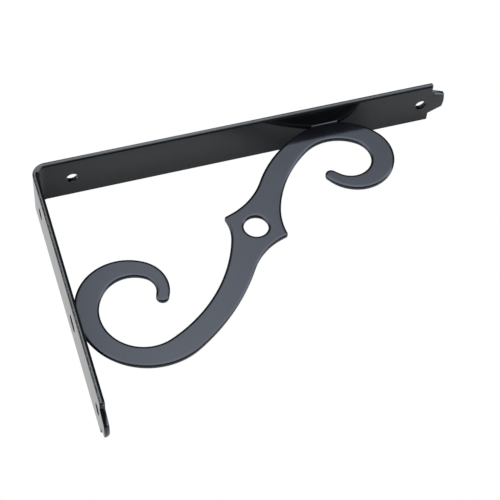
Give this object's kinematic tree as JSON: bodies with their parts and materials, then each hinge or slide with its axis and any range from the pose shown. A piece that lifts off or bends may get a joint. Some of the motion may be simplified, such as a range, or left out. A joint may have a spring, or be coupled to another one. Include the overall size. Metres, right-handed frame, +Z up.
{
  "type": "scroll shelf bracket",
  "caption": "L-shaped flat-bar shelf bracket with a flat S-scroll brace, round eye and shaped bar ends, in gloss black.",
  "frame": {"origin": "on the wall face of the leg, on the bar's centre line, 62 mm below the shelf face, between the upper screw hole and the slot", "axes": "+Z up along the leg, +X out from the wall along the arm, Y across the bar; wall face at x = 0, shelf face at z = 0.062"},
  "size_m": [0.2638, 0.0318, 0.1753],
  "materials": {
    "strap_coat": "gloss black powder coat on flat steel bar with sheared edges",
    "plate_coat": "gloss black powder coat with a fine orange peel, on flat cut steel plate"
  },
  "bodies": {
    "root": {"strap": "strap_coat", "scroll_plate": "plate_coat"}
  },
  "joints": []
}
